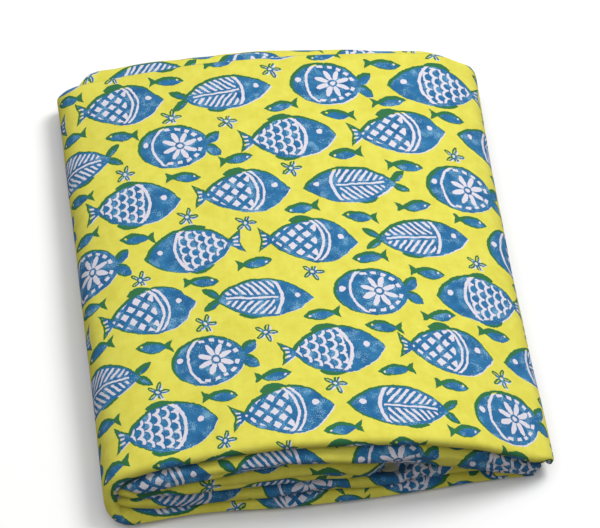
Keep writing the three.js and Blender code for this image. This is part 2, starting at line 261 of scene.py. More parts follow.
def far(x, y):
    """The distance of (x, y) from the origin."""
    return (x * x + y * y).maths("SQRT")


def sine(x):
    return x.maths("SINE")


def whole(x):
    return x.maths("FLOOR")


def part_of(x):
    return x.maths("FRACT")


def remainder(x, divisor):
    return x.maths("FLOORED_MODULO", divisor)


SOFT_EDGE = 0.25  # the width over which a printed edge fades, in millimetres


def inside(distance):
    """1 inside a shape and 0 outside it, with a soft edge."""
    return (distance / SOFT_EDGE).minus_from(0.5).maths("ADD", 0, clamp=True)


# %% A group for each motif
def new_group(name, inputs, outputs):
    """A shader node group. Returns it with a dict of its input wires."""
    group = bpy.data.node_groups.new(name, "ShaderNodeTree")
    for socket_name, kind, default in inputs:
        socket = group.interface.new_socket(socket_name, in_out="INPUT", socket_type=kind)
        if default is not None:
            socket.default_value = default
    for socket_name, kind in outputs:
        group.interface.new_socket(socket_name, in_out="OUTPUT", socket_type=kind)
    entry = group.nodes.new("NodeGroupInput")
    return group, {socket.name: Wire(group, socket) for socket in entry.outputs if socket.name}


def put_out(group, **results):
    """Plugs the results into the group's outputs."""
    way_out = group.nodes.new("NodeGroupOutput")
    for name, wire in results.items():
        plug(group, wire, way_out.inputs[name])


def use_group(tree, group, **values):
    """Places a group in a tree, fills its inputs and returns its outputs as wires."""
    node = tree.nodes.new("ShaderNodeGroup")
    node.node_tree = group
    for name, value in values.items():
        plug(tree, value, node.inputs[name])
    return {socket.name: Wire(tree, socket) for socket in node.outputs}


FLOAT, VECTOR = "NodeSocketFloat", "NodeSocketVector"
MOTIF_INPUTS = [("X", FLOAT, None), ("Y", FLOAT, None)]
MOTIF_OUTPUTS = [("Shape", FLOAT), ("Carving", FLOAT), ("Ground", FLOAT)]


def motif(name, draw):
    """A group for one figure. draw takes a place and gives the group's three distances."""
    group, given = new_group(name, MOTIF_INPUTS, MOTIF_OUTPUTS)
    shape, carving, ground = draw(given["X"], given["Y"])
    put_out(group, Shape=shape, Carving=carving, Ground=ground)
    return group


# %% Shapes that the motifs share
def lens(x, y, half_length, half_height):
    """The shape where two equal circles overlap: a leaf, or a fish's body."""
    radius = (half_length**2 + half_height**2) / (2 * half_height)
    return far(x, abs(y) + (radius - half_height)) - radius


def oval(x, y, half_length, half_height):
    return (far(x / half_length, y / half_height) - 1) * min(half_length, half_height)


def lobed_tail(x, y, root, length, width, spread):
    """Two leaf-shaped lobes that open to the left of the root, spread to each side by an angle."""
    behind, side = -(x - root), abs(y)
    out = behind * math.cos(spread) + side * math.sin(spread)
    away = side * math.cos(spread) - behind * math.sin(spread)
    return lens(out - length / 2, away, length / 2, width / 2)


def fan_tail(x, y, root, length, spread):
    """A fan that opens to the left of its root, and the rays that are carved in it."""
    behind, side = -(x - root), abs(y)
    fan = most(side - behind * spread - 1.8, behind - side * 0.25 - length, -behind - 3) * 0.85
    turn = side.maths("ARCTAN2", behind + 9)
    rays = most(stripes(turn + 0.1, 0.2, 0.085) * 15, fan + 1.2, behind.minus_from(4.2))
    return fan, rays


def stripes(value, pitch, width):
    """Parallel stripes: how far a value is from the middle of the nearest one."""
    return abs(part_of(value / pitch) - 0.5) * pitch - width / 2


def eye(x, y, place_x, place_y, radius):
    return far(x - place_x, y - place_y) - radius


def gill(x, y, centre, radius, width, body):
    """An arc behind the head, clear of the body's edge."""
    arc = abs(far(x - centre, y) - radius) - width / 2
    return most(arc, body + 1.6, x.minus_from(centre))


# %% A fish with scales
def scaled_fish(x, y):
    body = lens(x - 5, y, 29.5, 17.6)
    fin = lens(x, abs(y) - 15.5, 10, 4.2)
    tail, rays = fan_tail(x, y, -21, 8.5, 0.72)
    scale_length, scale_height, half_line = 5.8, 6.8, 0.95
    column = x / scale_length
    row = y / scale_height + remainder(whole(column), 2) * 0.5
    arc_x, arc_y = part_of(column), part_of(row) - 0.5
    scales = abs(far(arc_x, arc_y * 1.25) - 0.68) * scale_length - half_line
    scales = most(scales, body + 2.6, x - 10)
    head = gill(x, y, -7, 20.5, 2.2, body)
    carving = least(scales, rays, head, eye(x, y, 23.5, 2.6, 2.0))
    return least(body, fin, tail), carving, least(body, tail)


# %% A round fish with a flower in it
def flower_fish(x, y):
    body = oval(x - 2, y, 24, 18.2)
    tail = lobed_tail(x, y, -19, 15, 8.5, 0.75)
    flower_x = x + 3
    reach = far(flower_x, y)
    turn = y.maths("ARCTAN2", flower_x)
    petals = most(reach - abs(sine(turn * 4)) * 10.6 - 1.4, reach.minus_from(3.2)) * 0.75
    heart = reach - 1.7
    dash_pitch, dash_gap = 0.4363, 0.24  # angles round the flower
    dashes = most(abs(body + 3.6) - 1.05, stripes(turn, dash_pitch, dash_gap) * 13, x - 11)
    head = gill(x, y, -6, 21, 1.8, body)
    carving = least(petals, heart, dashes, head, eye(x, y, 20, 3, 2.0))
    return least(body, tail), carving, least(body, tail + 0.5)


# %% A slender fish with ribs
def ribbed_fish(x, y):
    body = lens(x - 3, y, 31.5, 14.8)
    fin = lens(x + 5, y + 12.5, 9, 3.6)
    tail = lobed_tail(x, y, -24, 15, 6, 0.6)
    side = abs(y)
    rib_pitch, rib_width = 4.8, 2.2
    ribs = stripes(x + side * 0.9, rib_pitch, rib_width)
    ribs = most(ribs, body + 2.3, x - 10, side.minus_from(2.1))
    spine = most(side - 0.7, x - 12, x.minus_from(-21))
    head = gill(x, y, -6, 20.5, 2.1, body)
    carving = least(ribs, spine, head, eye(x, y, 24.5, 1.8, 1.8))
    return least(body, fin, tail), carving, least(body, tail + 1.2)


# %% A fish with a net pattern
def netted_fish(x, y):
    body = least(oval(x - 6, y, 22.5, 17.8), lens(x - 3, y, 29.5, 16))
    fin = lens(x + 2, y - 15.5, 9, 4.6)
    tail, rays = fan_tail(x, y, -22, 8, 0.78)
    diagonal = 0.7071  # the cosine and the sine of 45 degrees
    mesh_pitch, mesh_opening = 6.9, 4.2
    rising = stripes((x + y) * diagonal, mesh_pitch, mesh_opening)
    falling = stripes((x - y) * diagonal, mesh_pitch, mesh_opening)
    net = most(rising, falling, body + 2.6, x - 6)
    head = gill(x, y, -10.5, 21, 1.9, body)
    inner_head = gill(x, y, -6.5, 21, 1.6, body)
    carving = least(net, rays, head, inner_head, eye(x, y, 22, 3.4, 2.0))
    return least(body, fin, tail), carving, least(body, tail + 0.3)


# %% Small things between the fish
def minnow(x, y):
    body = lens(x - 1.5, y, 10.4, 4.5)
    tail = fan_tail(x, y, -7.5, 3.4, 0.66)[0]
    return least(body, tail), eye(x, y, 7.5, 0.8, 0.8), least(body + 0.8, tail + 1.5)


def sea_star(x, y):
    reach = far(x, y)
    turn = y.maths("ARCTAN2", x)
    arm = (turn * 5).maths("COSINE")
    shape = (reach - arm * 2.6 - 4.9) * 0.75
    seam = most(abs(sine(turn * 2.5)) * reach - 0.65, reach - 6, reach.minus_from(2.6))
    return shape, least(seam, reach - 1.1), shape + 0.4


FISH = [
    motif("Scaled fish", scaled_fish),
    motif("Netted fish", netted_fish),
    motif("Ribbed fish", ribbed_fish),
    motif("Flower fish", flower_fish),
]
MINNOW, SEA_STAR = motif("Minnow", minnow), motif("Sea star", sea_star)
print("Motifs:", [group.name for group in (*FISH, MINNOW, SEA_STAR)])

# %% [markdown]
# ## The repeat
#
# The fish stand in rows like bricks: each row is moved half a fish to the side, the kinds
# take turns, and each one is tilted and turned about a little, because a block is placed
# by eye. Small fish and stars fill the corners that are left. The whole repeat is one
# group, so that the blue block and the ground block can both ask it for the same figures.


# %% The half-drop repeat
REPEAT_WIDTH = 74  # from one fish to the next in its row, in millimetres
REPEAT_HEIGHT = 42.5
FILLER_HEIGHT = 16.2  # how far a small motif stands from the middle of its row
MOST_TILT = 0.08  # the largest turn of a fish, in radians
MOST_SLIDE, MOST_RISE = 1.2, 0.8  # the largest shifts from an even layout
SMALL_FISH_TILT = 0.12


def repeat_of_motifs():
    group, given = new_group("Half-drop repeat", MOTIF_INPUTS, MOTIF_OUTPUTS)
    x, y = given["X"], given["Y"]
    row = whole(y / REPEAT_HEIGHT)
    slid = x / REPEAT_WIDTH + remainder(row, 2) * 0.5
    column = whole(slid)
    kind = remainder(column + row * 2 + remainder(whole(row / 2), 2), 4)
    cell_x = (part_of(slid) - 0.5) * REPEAT_WIDTH
    cell_y = (part_of(y / REPEAT_HEIGHT) - 0.5) * REPEAT_HEIGHT
    facing = remainder(row + whole(column / 2), 2) * -2 + 1
    tilt = sine(column * 2.4 + row * 4.1) * MOST_TILT
    turned_x = cell_x + tilt * cell_y + sine(column * 5.3 + row * 1.7) * MOST_SLIDE
    turned_y = cell_y - tilt * cell_x + sine(column * 3.1 + row * 2.9) * MOST_RISE
    fish = [use_group(group, figure, X=turned_x * facing, Y=turned_y) for figure in FISH]

    filler_slid = slid + 0.5
    filler_x = (part_of(filler_slid) - 0.5) * REPEAT_WIDTH
    half = cell_y.maths("SIGN")
    pick = whole(filler_slid) + row * 3 + half
    filler_x = filler_x + sine(pick * 2.2) * MOST_SLIDE
    filler_y = abs(cell_y) - FILLER_HEIGHT + sine(pick * 1.3) * MOST_RISE
    heading = remainder(pick, 2) * -2 + 1
    small_y = filler_y + filler_x * SMALL_FISH_TILT
    small = use_group(group, MINNOW, X=filler_x * heading, Y=small_y)
    star = use_group(group, SEA_STAR, X=filler_x, Y=filler_y)
    is_star = remainder(pick, 3).maths("LESS_THAN", 0.5)

    results = {}
    for name in ("Shape", "Carving", "Ground"):
        large = chosen(kind, [figure[name] for figure in fish])
        filler = small[name] + is_star * (star[name] - small[name])
        results[name] = least(large, filler)
    put_out(group, **results)
    return group


def chosen(number, wires):
    """The wire whose place in the list is the number."""
    total = None
    for place, wire in enumerate(wires):
        share = number.maths("COMPARE", place, 0.5) * wire
        total = share if total is None else total + share
    return total


REPEAT = repeat_of_motifs()

# %% [markdown]
# ## Two blocks and a ground
#
# Hand block printing is never exact. The yellow ground block leaves a hole for each figure,
# and the blue block is laid on by eye, a millimetre off: where the two overlap the dyes
# make green, and on the other side a sliver of white cloth shows. The wood's edge is a
# little rough, and thin dye leaves pale specks in the blue. This group turns a place on the
# cloth, in metres, into the two masks and the specks.


# %% The print
LONG_WAVES, LONG_WANDER = 110, 2.6  # waves a metre in a cut edge, and their height in millimetres
SHORT_WAVES, SHORT_WANDER = 620, 1.1
SLIP_WAVES, SLIP = 9, 2.2  # how the blue block's place on the ground changes along the cloth
GRAIN, PATCHES = 1500, 130  # lumps a metre in thin dye


def noise_at(tree, place, scale, detail=2.0):
    """Noise with its mean taken off, as three wires. scale is in lumps a metre."""
    node = tree.nodes.new("ShaderNodeTexNoise")
    node.inputs["Scale"].default_value = scale
    node.inputs["Detail"].default_value = detail
    plug(tree, place, node.inputs["Vector"])
    split = tree.nodes.new("ShaderNodeSeparateColor")
    tree.links.new(node.outputs["Color"], split.inputs[0])
    return [Wire(tree, socket) - 0.5 for socket in split.outputs]


def block_print():
    group, given = new_group(
        "Two block print",
        [
            ("Cloth", VECTOR, None),
            ("Off to the right", FLOAT, 1.2),
            ("Off to the front", FLOAT, 0.9),
            ("Overlap", FLOAT, 0.75),
            ("Roughness of the cut", FLOAT, 1.0),
        ],
        [("Blue", FLOAT), ("Yellow", FLOAT), ("Specks", FLOAT), ("Pooling", FLOAT)],
    )
    cloth = given["Cloth"]
    x, y, _ = split_vector(group, cloth)
    wobble = noise_at(group, cloth, LONG_WAVES)
    jagged = noise_at(group, cloth, SHORT_WAVES)
    cut = given["Roughness of the cut"]
    x = x * (1 / MM) + (wobble[0] * LONG_WANDER + jagged[0] * SHORT_WANDER) * cut
    y = y * (1 / MM) + (wobble[1] * LONG_WANDER + jagged[1] * SHORT_WANDER) * cut
    blue = use_group(group, REPEAT, X=x, Y=y)
    standing = inside(blue["Shape"]) * inside(blue["Carving"]).minus_from(1)

    drift = noise_at(group, cloth, SLIP_WAVES, 0)
    right = given["Off to the right"] + drift[0] * SLIP
    front = given["Off to the front"] + drift[1] * SLIP
    ground = use_group(group, REPEAT, X=x - right, Y=y + front)
    yellow = inside(ground["Ground"] + given["Overlap"] + jagged[2] * 0.8).minus_from(1)

    grain = noise_at(group, cloth, GRAIN)
    patch = noise_at(group, cloth, PATCHES)
    specks = (grain[0] * 5.0 + patch[0] * 4.4 - 0.34).maths("MULTIPLY", 1.8, clamp=True)
    pooling = (patch[1] * 2.2 + 0.5).maths("ADD", 0, clamp=True)
    put_out(group, Blue=standing, Yellow=yellow, Specks=specks, Pooling=pooling)
    return group


BLOCK_PRINT = block_print()
print("Nodes in the repeat:", len(REPEAT.nodes), "and in the print:", len(BLOCK_PRINT.nodes))

# %% [markdown]
# ## The weave
#
# Dress cotton is a plain weave: each thread passes over one and under the next. From a step
# away the threads melt together and leave only a matt, slightly uneven surface with a few
# thicker threads. The weave is therefore a height for a Bump node and a faint change of
# tone, and no geometry. Its threads follow the same map as the print.


# %% Plain weave
def plain_weave():
    group, given = new_group(
        "Plain weave",
        [("Cloth", VECTOR, None), ("Threads a metre", FLOAT, 2200)],
        [("Height", FLOAT), ("Tone", FLOAT)],
    )
    cloth, threads = given["Cloth"], given["Threads a metre"]
    x, y, _ = split_vector(group, cloth)
    across, along = sine(x * threads * math.pi), sine(y * threads * math.pi)
    over = across * along * 0.5 + 0.5
    height = most(abs(across) * over, abs(along) * over.minus_from(1))
    thick = []
    for lumps_across, lumps_along in ((1500, 60), (60, 1500)):
        node = group.nodes.new("ShaderNodeCombineXYZ")
        plug(group, x * lumps_across, node.inputs[0])
        plug(group, y * lumps_along, node.inputs[1])
        thick.append(noise_at(group, Wire(group, node.outputs[0]), 1, 1)[0])
    slubs = thick[0] + thick[1]
    put_out(group, Height=height + slubs * 0.8, Tone=slubs * 0.6 + 0.5)
    return group


PLAIN_WEAVE = plain_weave()

# %% [markdown]
# ## The printed cotton
#
# One cotton serves every stretch. Its face has the full strength of the dyes. The reverse,
# which shows only inside the folds and under the edges, is paler, because the dye hardly
# comes through. The shader is matt with a faint sheen, as cotton fibres give.


# %% Printed cotton
def dye(*screen):
    """A colour as measured on a screen, from 0 to 255, made linear for the shader."""
    return (*(((level / 255 + 0.055) / 1.055) ** 2.4 for level in screen), 1)


BARE_CLOTH = dye(225, 221, 232)
YELLOW_DYE = dye(233, 227, 96)
YELLOW_DEEP = dye(224, 215, 80)
BLUE_DYE = dye(48, 122, 171)
BLUE_DEEP = dye(34, 97, 148)
BLUE_SPECK = dye(134, 186, 218)
GREEN_OVERLAP = dye(52, 117, 72)
THREAD_SHADE = 0.10  # how much darker the thick threads are
BUMP_HEIGHT = 0.25 * MM


def printed_cotton(name, strength):
    """A cotton whose dyes show with a strength from 0, bare cloth, to 1, the face."""
    material = bpy.data.materials.new(name)
    material.use_nodes = True
    tree = material.node_tree
    shader = tree.nodes["Principled BSDF"]
    uv_map = tree.nodes.new("ShaderNodeUVMap")
    uv_map.uv_map = "Cloth"
    place = Wire(tree, uv_map.outputs["UV"])
    ink = use_group(tree, BLOCK_PRINT, Cloth=place)
    weave = use_group(tree, PLAIN_WEAVE, Cloth=place)
    yellow = mixed(tree, ink["Pooling"], YELLOW_DYE, YELLOW_DEEP)
    blue = mixed(tree, ink["Pooling"], BLUE_DYE, BLUE_DEEP)
    blue = mixed(tree, ink["Specks"] * 0.8, blue, BLUE_SPECK)
    ground = mixed(tree, ink["Yellow"] * strength, BARE_CLOTH, yellow)
    overprint = mixed(tree, ink["Yellow"], blue, GREEN_OVERLAP)
    colour = mixed(tree, ink["Blue"] * strength, ground, overprint)
    colour = mixed(tree, weave["Tone"] * THREAD_SHADE, colour, (0, 0, 0, 1))
    plug(tree, colour, shader.inputs["Base Color"])
    plug(tree, ink["Blue"] * 0.06 + weave["Tone"] * 0.08 + 0.78, shader.inputs["Roughness"])
    shader.inputs["Specular IOR Level"].default_value = 0.12
    shader.inputs["Sheen Weight"].default_value = 0.05
    shader.inputs["Sheen Roughness"].default_value = 0.6
    bump = tree.nodes.new("ShaderNodeBump")
    bump.inputs["Strength"].default_value = 0.5
    bump.inputs["Distance"].default_value = BUMP_HEIGHT
    plug(tree, weave["Height"], bump.inputs["Height"])
    tree.links.new(bump.outputs["Normal"], shader.inputs["Normal"])
    return material


COTTON_FACE = printed_cotton("printed_cotton_face", 1.0)
COTTON_REVERSE = printed_cotton("printed_cotton_reverse", 0.55)

# %% [markdown]
# ## The sizes of the bundle
#
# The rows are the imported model's own. The outer layer is followed from its right edge over
# the top, down the left side and along the underside. Each row says where it crosses the
# front, the middle and the back of the bundle, how far its front and back folds reach, and
# how tightly the front fold is rolled. The inner folds have a row for each place along x,
# with the height of their lower and upper face and their reach. Two things are finer here
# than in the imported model: the ends of the front folds, and the knot with its two hollows
# in the lower one, right of the middle.

# %% Rows of the outer layer and the folds
CAD_WALL = 1.6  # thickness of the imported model's cloth
CLOTH_THICKNESS = 0.9  # the sheets made here, which stand for two or three layers of cotton
BUNDLE_LEAN = -0.0716  # sideways lean: x gained for each millimetre of y
FOOTPRINT_MIDDLE_X = -1.2
HEM_RETURN = 15  # cloth that turns back under the front and back folds
BACK_FOLD_RADIUS = 2.2
FRONT_FOLD_RADIUS = 3.5  # where the front fold isn't rolled tighter
FRONT_LEAF_END = -128
BACK_LEAF_END = 132
LEAF_FALL = 1.2
NOSE_SLENDERNESS = 1.3
NOSE_DEPTH_MOST = 9

OUTER_COLUMNS = (
    "x_front", "z_front", "x_mid", "z_mid", "x_back", "z_back", "y_front", "y_back", "fold"
)
OUTER_ROWS = [
    (141.8, 10.5, 140.2, 15.0, 145.2, 13.0, -149.0, 154, 1.8),
    (142.2, 15.0, 140.0, 22.0, 145.0, 20.0, -149.2, 154, 1.9),
    (138.0, 20.6, 136.4, 30.5, 140.8, 29.0, -150.6, 154, 2.5),
    (129.6, 24.8, 128.6, 37.0, 130.8, 36.5, -152.0, 154, 3.5),
    (119.3, 31.4, 117.5, 42.5, 118.0, 44.4, -152.4, 154, 3.5),
    (101.0, 43.2, 99.0, 49.0, 98.0, 48.0, -152.3, 154, 3.5),
    (80.0, 51.4, 76.0, 53.6, 72.0, 50.4, -152.1, 154, 3.5),
    (56.0, 58.2, 50.0, 57.0, 46.0, 52.0, -151.9, 154, 3.5),
    (26.0, 61.4, 22.0, 59.2, 18.0, 52.6, -151.8, 154, 3.5),
    (-6.0, 63.2, -8.0, 60.2, -12.0, 52.0, -151.9, 154, 3.5),
    (-36.0, 63.6, -38.0, 59.4, -40.0, 49.8, -152.4, 154, 3.5),
    (-62.0, 60.4, -64.0, 56.8, -66.0, 46.2, -152.9, 154, 3.5),
    (-84.0, 55.4, -87.0, 53.4, -89.0, 42.2, -153.4, 154, 3.5),
    (-106.0, 51.6, -108.0, 49.6, -108.0, 38.0, -154.0, 154, 3.5),
    (-122.5, 46.4, -124.0, 44.6, -124.0, 34.0, -154.8, 154, 3.5),
    (-136.3, 38.4, -136.5, 37.0, -136.5, 29.0, -156.2, 154, 3.5),
    (-143.6, 27.0, -143.2, 26.5, -143.5, 21.0, -159.6, 154, 3.5),
    (-144.6, 14.0, -143.2, 14.0, -144.0, 12.0, -164.6, 156, 3.5),
    (-139.6, 4.6, -138.4, 4.4, -139.0, 4.0, -168.4, 157, 3.5),
    (-128.0, 0.8, -127.0, 0.8, -128.0, 0.8, -169.6, 159, 3.5),
    (-86.0, 0.8, -86.0, 0.8, -86.0, 0.8, -165.2, 160, 3.6),
    (-22.0, 0.8, -22.0, 0.8, -22.0, 0.8, -164.0, 160, 3.0),
    (42.0, 0.8, 42.0, 0.8, 42.0, 0.8, -159.7, 159, 2.5),
    (84.0, 0.8, 88.0, 0.8, 92.0, 0.8, -155.0, 158, 1.9),
    (113.0, 0.8, 128.0, 0.8, 134.0, 0.8, -153.0, 157, 1.9),
]
UNDERSIDE_ROW = 19  # from this row on the layer lies flat on the table

FOLD_COLUMNS = ("x", "low", "high", "reach")
FRONT_FOLD_UPPER = [
    (-134.5, 26.6, 30.6, -156.4),
    (-129.5, 26.2, 31.0, -158.5),
    (-122.0, 27.2, 36.4, -162.4),
    (-112.0, 29.0, 41.4, -162.6),
    (-98.0, 32.6, 44.6, -161.9),
    (-80.0, 35.2, 48.0, -161.1),
    (-60.0, 38.6, 52.4, -160.3),
    (-36.0, 41.6, 55.4, -159.2),
    (-12.0, 43.0, 55.2, -158.3),
    (8.0, 38.4, 54.0, -158.0),
    (32.0, 34.0, 52.8, -157.8),
    (56.0, 29.2, 49.6, -157.6),
    (78.0, 21.6, 43.2, -157.2),
    (98.0, 13.8, 35.2, -156.8),
    (112.0, 8.0, 26.4, -156.4),
    (122.0, 4.6, 17.9, -156.0),
    (130.0, 3.0, 12.0, -153.4),
    (135.0, 4.6, 8.4, -149.2),
]
FRONT_FOLD_MIDDLE = [
    (-138.5, 20.4, 24.6, -156.5),
    (-128.0, 19.6, 26.0, -161.0),
    (-114.0, 19.4, 27.6, -162.6),
    (-98.0, 21.6, 31.4, -163.2),
    (-80.0, 22.6, 34.4, -162.6),
    (-62.0, 20.4, 37.4, -161.8),
    (-44.0, 18.6, 39.8, -161.0),
    (-24.0, 20.6, 41.4, -160.2),
    (-8.0, 22.4, 41.0, -159.6),
    (8.0, 18.6, 37.2, -158.6),
    (22.0, 17.4, 34.2, -157.0),
    (32.0, 20.0, 31.0, -151.5),
    (38.0, 24.0, 27.6, -144.0),
]
FRONT_FOLD_LOWER = [
    (-137.0, 10.6, 16.4, -160.5),
    (-125.0, 10.0, 18.0, -163.6),
    (-110.0, 9.4, 18.9, -164.8),
    (-92.0, 9.4, 20.6, -164.6),
    (-76.0, 9.6, 21.4, -163.6),
    (-56.0, 10.0, 18.8, -162.6),
    (-40.0, 8.8, 17.8, -161.8),
    (-26.0, 8.2, 19.4, -161.0),
    (-10.0, 9.4, 21.2, -160.2),
    (12.0, 8.0, 17.4, -158.6),
    (30.0, 7.2, 15.8, -157.4),
    (43.0, 6.9, 14.6, -155.8),
    (48.0, 6.7, 18.4, -155.4),
    (52.5, 6.6, 25.4, -156.0),
    (57.0, 6.5, 24.4, -154.6),
    (62.0, 6.4, 17.6, -153.4),
    (70.0, 6.3, 15.0, -152.4),
    (78.0, 6.2, 16.4, -151.6),
    (94.0, 6.0, 13.6, -150.0),
    (102.0, 6.0, 10.6, -147.5),
]
BACK_FOLD = [
    (-128.0, 17.0, 26.2, 162.0),
    (-120.0, 17.0, 29.6, 168.6),
    (-104.0, 19.0, 33.4, 170.2),
    (-84.0, 21.6, 37.8, 170.2),
    (-60.0, 25.2, 41.8, 169.8),
    (-36.0, 28.6, 44.8, 169.0),
    (-8.0, 30.8, 46.8, 168.2),
    (22.0, 31.2, 47.2, 167.2),
    (54.0, 30.4, 46.2, 166.0),
    (86.0, 27.4, 43.4, 165.2),
    (110.0, 23.6, 40.2, 164.2),
    (124.0, 20.6, 34.8, 162.4),
    (132.0, 20.8, 28.6, 156.0),
]


def distances_along(rows):
    """How far each row of the outer layer is from its right edge, through the middle."""
    x_at, z_at = OUTER_COLUMNS.index("x_mid"), OUTER_COLUMNS.index("z_mid")
    distances = [0.0]
    for before, row in zip(rows, rows[1:]):
        step = math.hypot(row[x_at] - before[x_at], row[z_at] - before[z_at])
        distances.append(distances[-1] + step)
    return distances


OUTER_PLACES = distances_along(OUTER_ROWS)
UNDERSIDE_START = OUTER_PLACES[UNDERSIDE_ROW]
print(f"The outer layer is {OUTER_PLACES[-1]:.0f} mm long, {UNDERSIDE_START:.0f} mm of it on show")

# %% [markdown]
# ## From a flat cut to a folded sheet
#
# Cloth keeps its size when it is folded. So each stretch starts as a flat grid of its real
# size, and its flat coordinates are kept as a UV map in metres: the print will follow that
# map round every fold without stretching. Then each point is carried to its place in the
# bundle. Between the rows a smooth cubic is used, as a batten would lie through the marks.


# %% Carry flat points to folded places
def row_between(columns, rows, places, place):
    """The values of a table at a place between its rows, as a smooth cubic gives them."""
    last = len(rows) - 1
    row = 0
    while row < last - 1 and place > places[row + 1]:
        row += 1
    span = places[row + 1] - places[row]
    t = (place - places[row]) / span
    rise = t * t * (3 - 2 * t)
    shares = [(row, 1 - rise), (row + 1, rise)]
    for index, pull in ((row, t * (1 - t) ** 2), (row + 1, -t * t * (1 - t))):
        before, after = max(0, index - 1), min(last, index + 1)
        tilt = pull * span / (places[after] - places[before])
        shares += [(after, tilt), (before, -tilt)]
    values = [sum(share * rows[index][i] for index, share in shares) for i in range(len(columns))]
    return dict(zip(columns, values))


def bundle_point(x, y, z):
    """A point in metres, in the bundle that leans a little sideways."""
    return Vector((x + BUNDLE_LEAN * y - FOOTPRINT_MIDDLE_X, y, z)) * MM


@functools.lru_cache(maxsize=None)
def outer_row(along):
    return row_between(OUTER_COLUMNS, OUTER_ROWS, OUTER_PLACES, along)


def crossing(row, v):
    """Where the outer layer crosses the plane at v, from the front (0) to the back (1)."""
    front, mid, back = (1 - v) * (1 - 2 * v), 4 * v * (1 - v), v * (2 * v - 1)
    x = row["x_front"] * front + row["x_mid"] * mid + row["x_back"] * back
    z = row["z_front"] * front + row["z_mid"] * mid + row["z_back"] * back
    return Vector((x, max(z, CAD_WALL / 2)))


def inward_direction(along, v):
    nudge = 0.5
    start = outer_row(max(0, along - nudge))
    end = outer_row(min(OUTER_PLACES[-1], along + nudge))
    run = (crossing(end, v) - crossing(start, v)).normalized()
    return Vector((-run.y, run.x))


FRONT_FOLD_FLAT = math.pi * FRONT_FOLD_RADIUS  # cloth taken up by the front fold
BACK_FOLD_FLAT = math.pi * BACK_FOLD_RADIUS
PANEL_FLAT = 301  # from the front fold to the back fold
ACROSS_START = -FRONT_FOLD_FLAT - HEM_RETURN
ACROSS_END = PANEL_FLAT + BACK_FOLD_FLAT + HEM_RETURN


def outer_point(across, along):
    """Carries a flat point of the outer layer, in millimetres, to its place in the bundle."""
    row = outer_row(along)
    y_front = row["y_front"] + row["fold"]
    y_back = row["y_back"] - BACK_FOLD_RADIUS
    v = min(max(across / PANEL_FLAT, 0), 1)
    y = y_front + (y_back - y_front) * v
    inward = 0
    if across < 0:
        turn = math.pi * min(1, -across / FRONT_FOLD_FLAT)
        y += max(0, -across - FRONT_FOLD_FLAT) - row["fold"] * math.sin(turn)
        inward = row["fold"] * (1 - math.cos(turn))
    elif across > PANEL_FLAT:
        beyond = across - PANEL_FLAT
        turn = math.pi * min(1, beyond / BACK_FOLD_FLAT)
        y += BACK_FOLD_RADIUS * math.sin(turn) - max(0, beyond - BACK_FOLD_FLAT)
        inward = BACK_FOLD_RADIUS * (1 - math.cos(turn))
    place = crossing(row, v)
    if inward:
        place += inward_direction(along, v) * inward
    return bundle_point(place.x, y, place.y)


def fold_row(rows, x):
    places = [row[0] for row in rows]
    return row_between(FOLD_COLUMNS, rows, places, min(max(x, places[0]), places[-1]))


def fold_point(rows, leaf_end, x, around):
    """A point of an inner fold: around is the cloth's distance from the tip of its rounded
    nose, in millimetres, and is negative on the upper leaf and positive on the lower one."""
    row = fold_row(rows, x)
    outward = math.copysign(1, leaf_end)
    low, high = row["low"] + CAD_WALL / 2, row["high"] - CAD_WALL / 2
    half_height = (high - low) / 2
    nose = min(NOSE_SLENDERNESS * half_height, NOSE_DEPTH_MOST)
    nose_start = row["reach"] - outward * (CAD_WALL / 2 + nose)
    half_arc = math.pi / 2 * math.sqrt((half_height**2 + nose**2) / 2)
    if abs(around) <= half_arc:
        turn = math.pi / 2 * (1 + around / half_arc)
        y = nose_start + outward * nose * math.sin(turn)
        return bundle_point(x, y, low + half_height * (1 + math.cos(turn)))
    back = abs(around) - half_arc
    fallen = min(1, back / abs(leaf_end - nose_start))
    y = nose_start - outward * back
    if around < 0:
        return bundle_point(x, y, high - LEAF_FALL * fallen)
    return bundle_point(x, y, low - LEAF_FALL / 2 * fallen)


# %% [markdown]
# ## Creases
#
# Folded cotton is never smooth. It keeps a soft trough where a finger pressed it and a low
# ridge where an inner layer bunches. Noise alone looks like a wrinkled bag, so the main
# creases are placed one by one on the flat cloth: two ends, a width and a depth, where a
# negative depth is a ridge. Each one fades towards its ends and wanders a little. A very
# low unevenness is then laid over all of it.


# %% Press creases into a sheet
CREASE_OVERRUN = 0.1  # a crease fades out this share of its length past its ends
CREASE_WANDER, WANDER_LENGTH = 2.5, 28  # how far a crease strays, and the length of its bends
UNEVEN_DEPTH, UNEVEN_LENGTH = 0.5, 46
FINE_DEPTH, FINE_LENGTH = 0.12, 13
WRINKLE_WIDTH, WRINKLE_LENGTH = 4.5, 34


def crease_depth(creases, point, wrinkle):
    """How far the cloth is pressed in at a flat point, in millimetres. wrinkle is the depth of
    small wrinkles that run along the sheet."""
    wander = CREASE_WANDER * noise.noise(Vector((point.x, point.y, 7)) / WANDER_LENGTH)
    total = 0
    for start, end, width, depth in creases:
        run = Vector(end) - Vector(start)
        t = (point - Vector(start)).dot(run) / run.length_squared
        if not -CREASE_OVERRUN < t < 1 + CREASE_OVERRUN:
            continue
        nearest = Vector(start) + run * min(max(t, 0), 1)
        away = ((point - nearest).length + wander) / width
        fade = math.sin(math.pi * ((t + CREASE_OVERRUN) / (1 + 2 * CREASE_OVERRUN)))
        total += depth * fade * math.exp(-away * away)
    uneven = noise.noise(Vector((point.x, point.y, 0)) / UNEVEN_LENGTH)
    fine = noise.noise(Vector((point.x, point.y, 3)) / FINE_LENGTH)
    lengthwise = noise.noise(Vector((point.x / WRINKLE_WIDTH, point.y / WRINKLE_LENGTH, 11)))
    return total + UNEVEN_DEPTH * uneven + FINE_DEPTH * fine + wrinkle * lengthwise


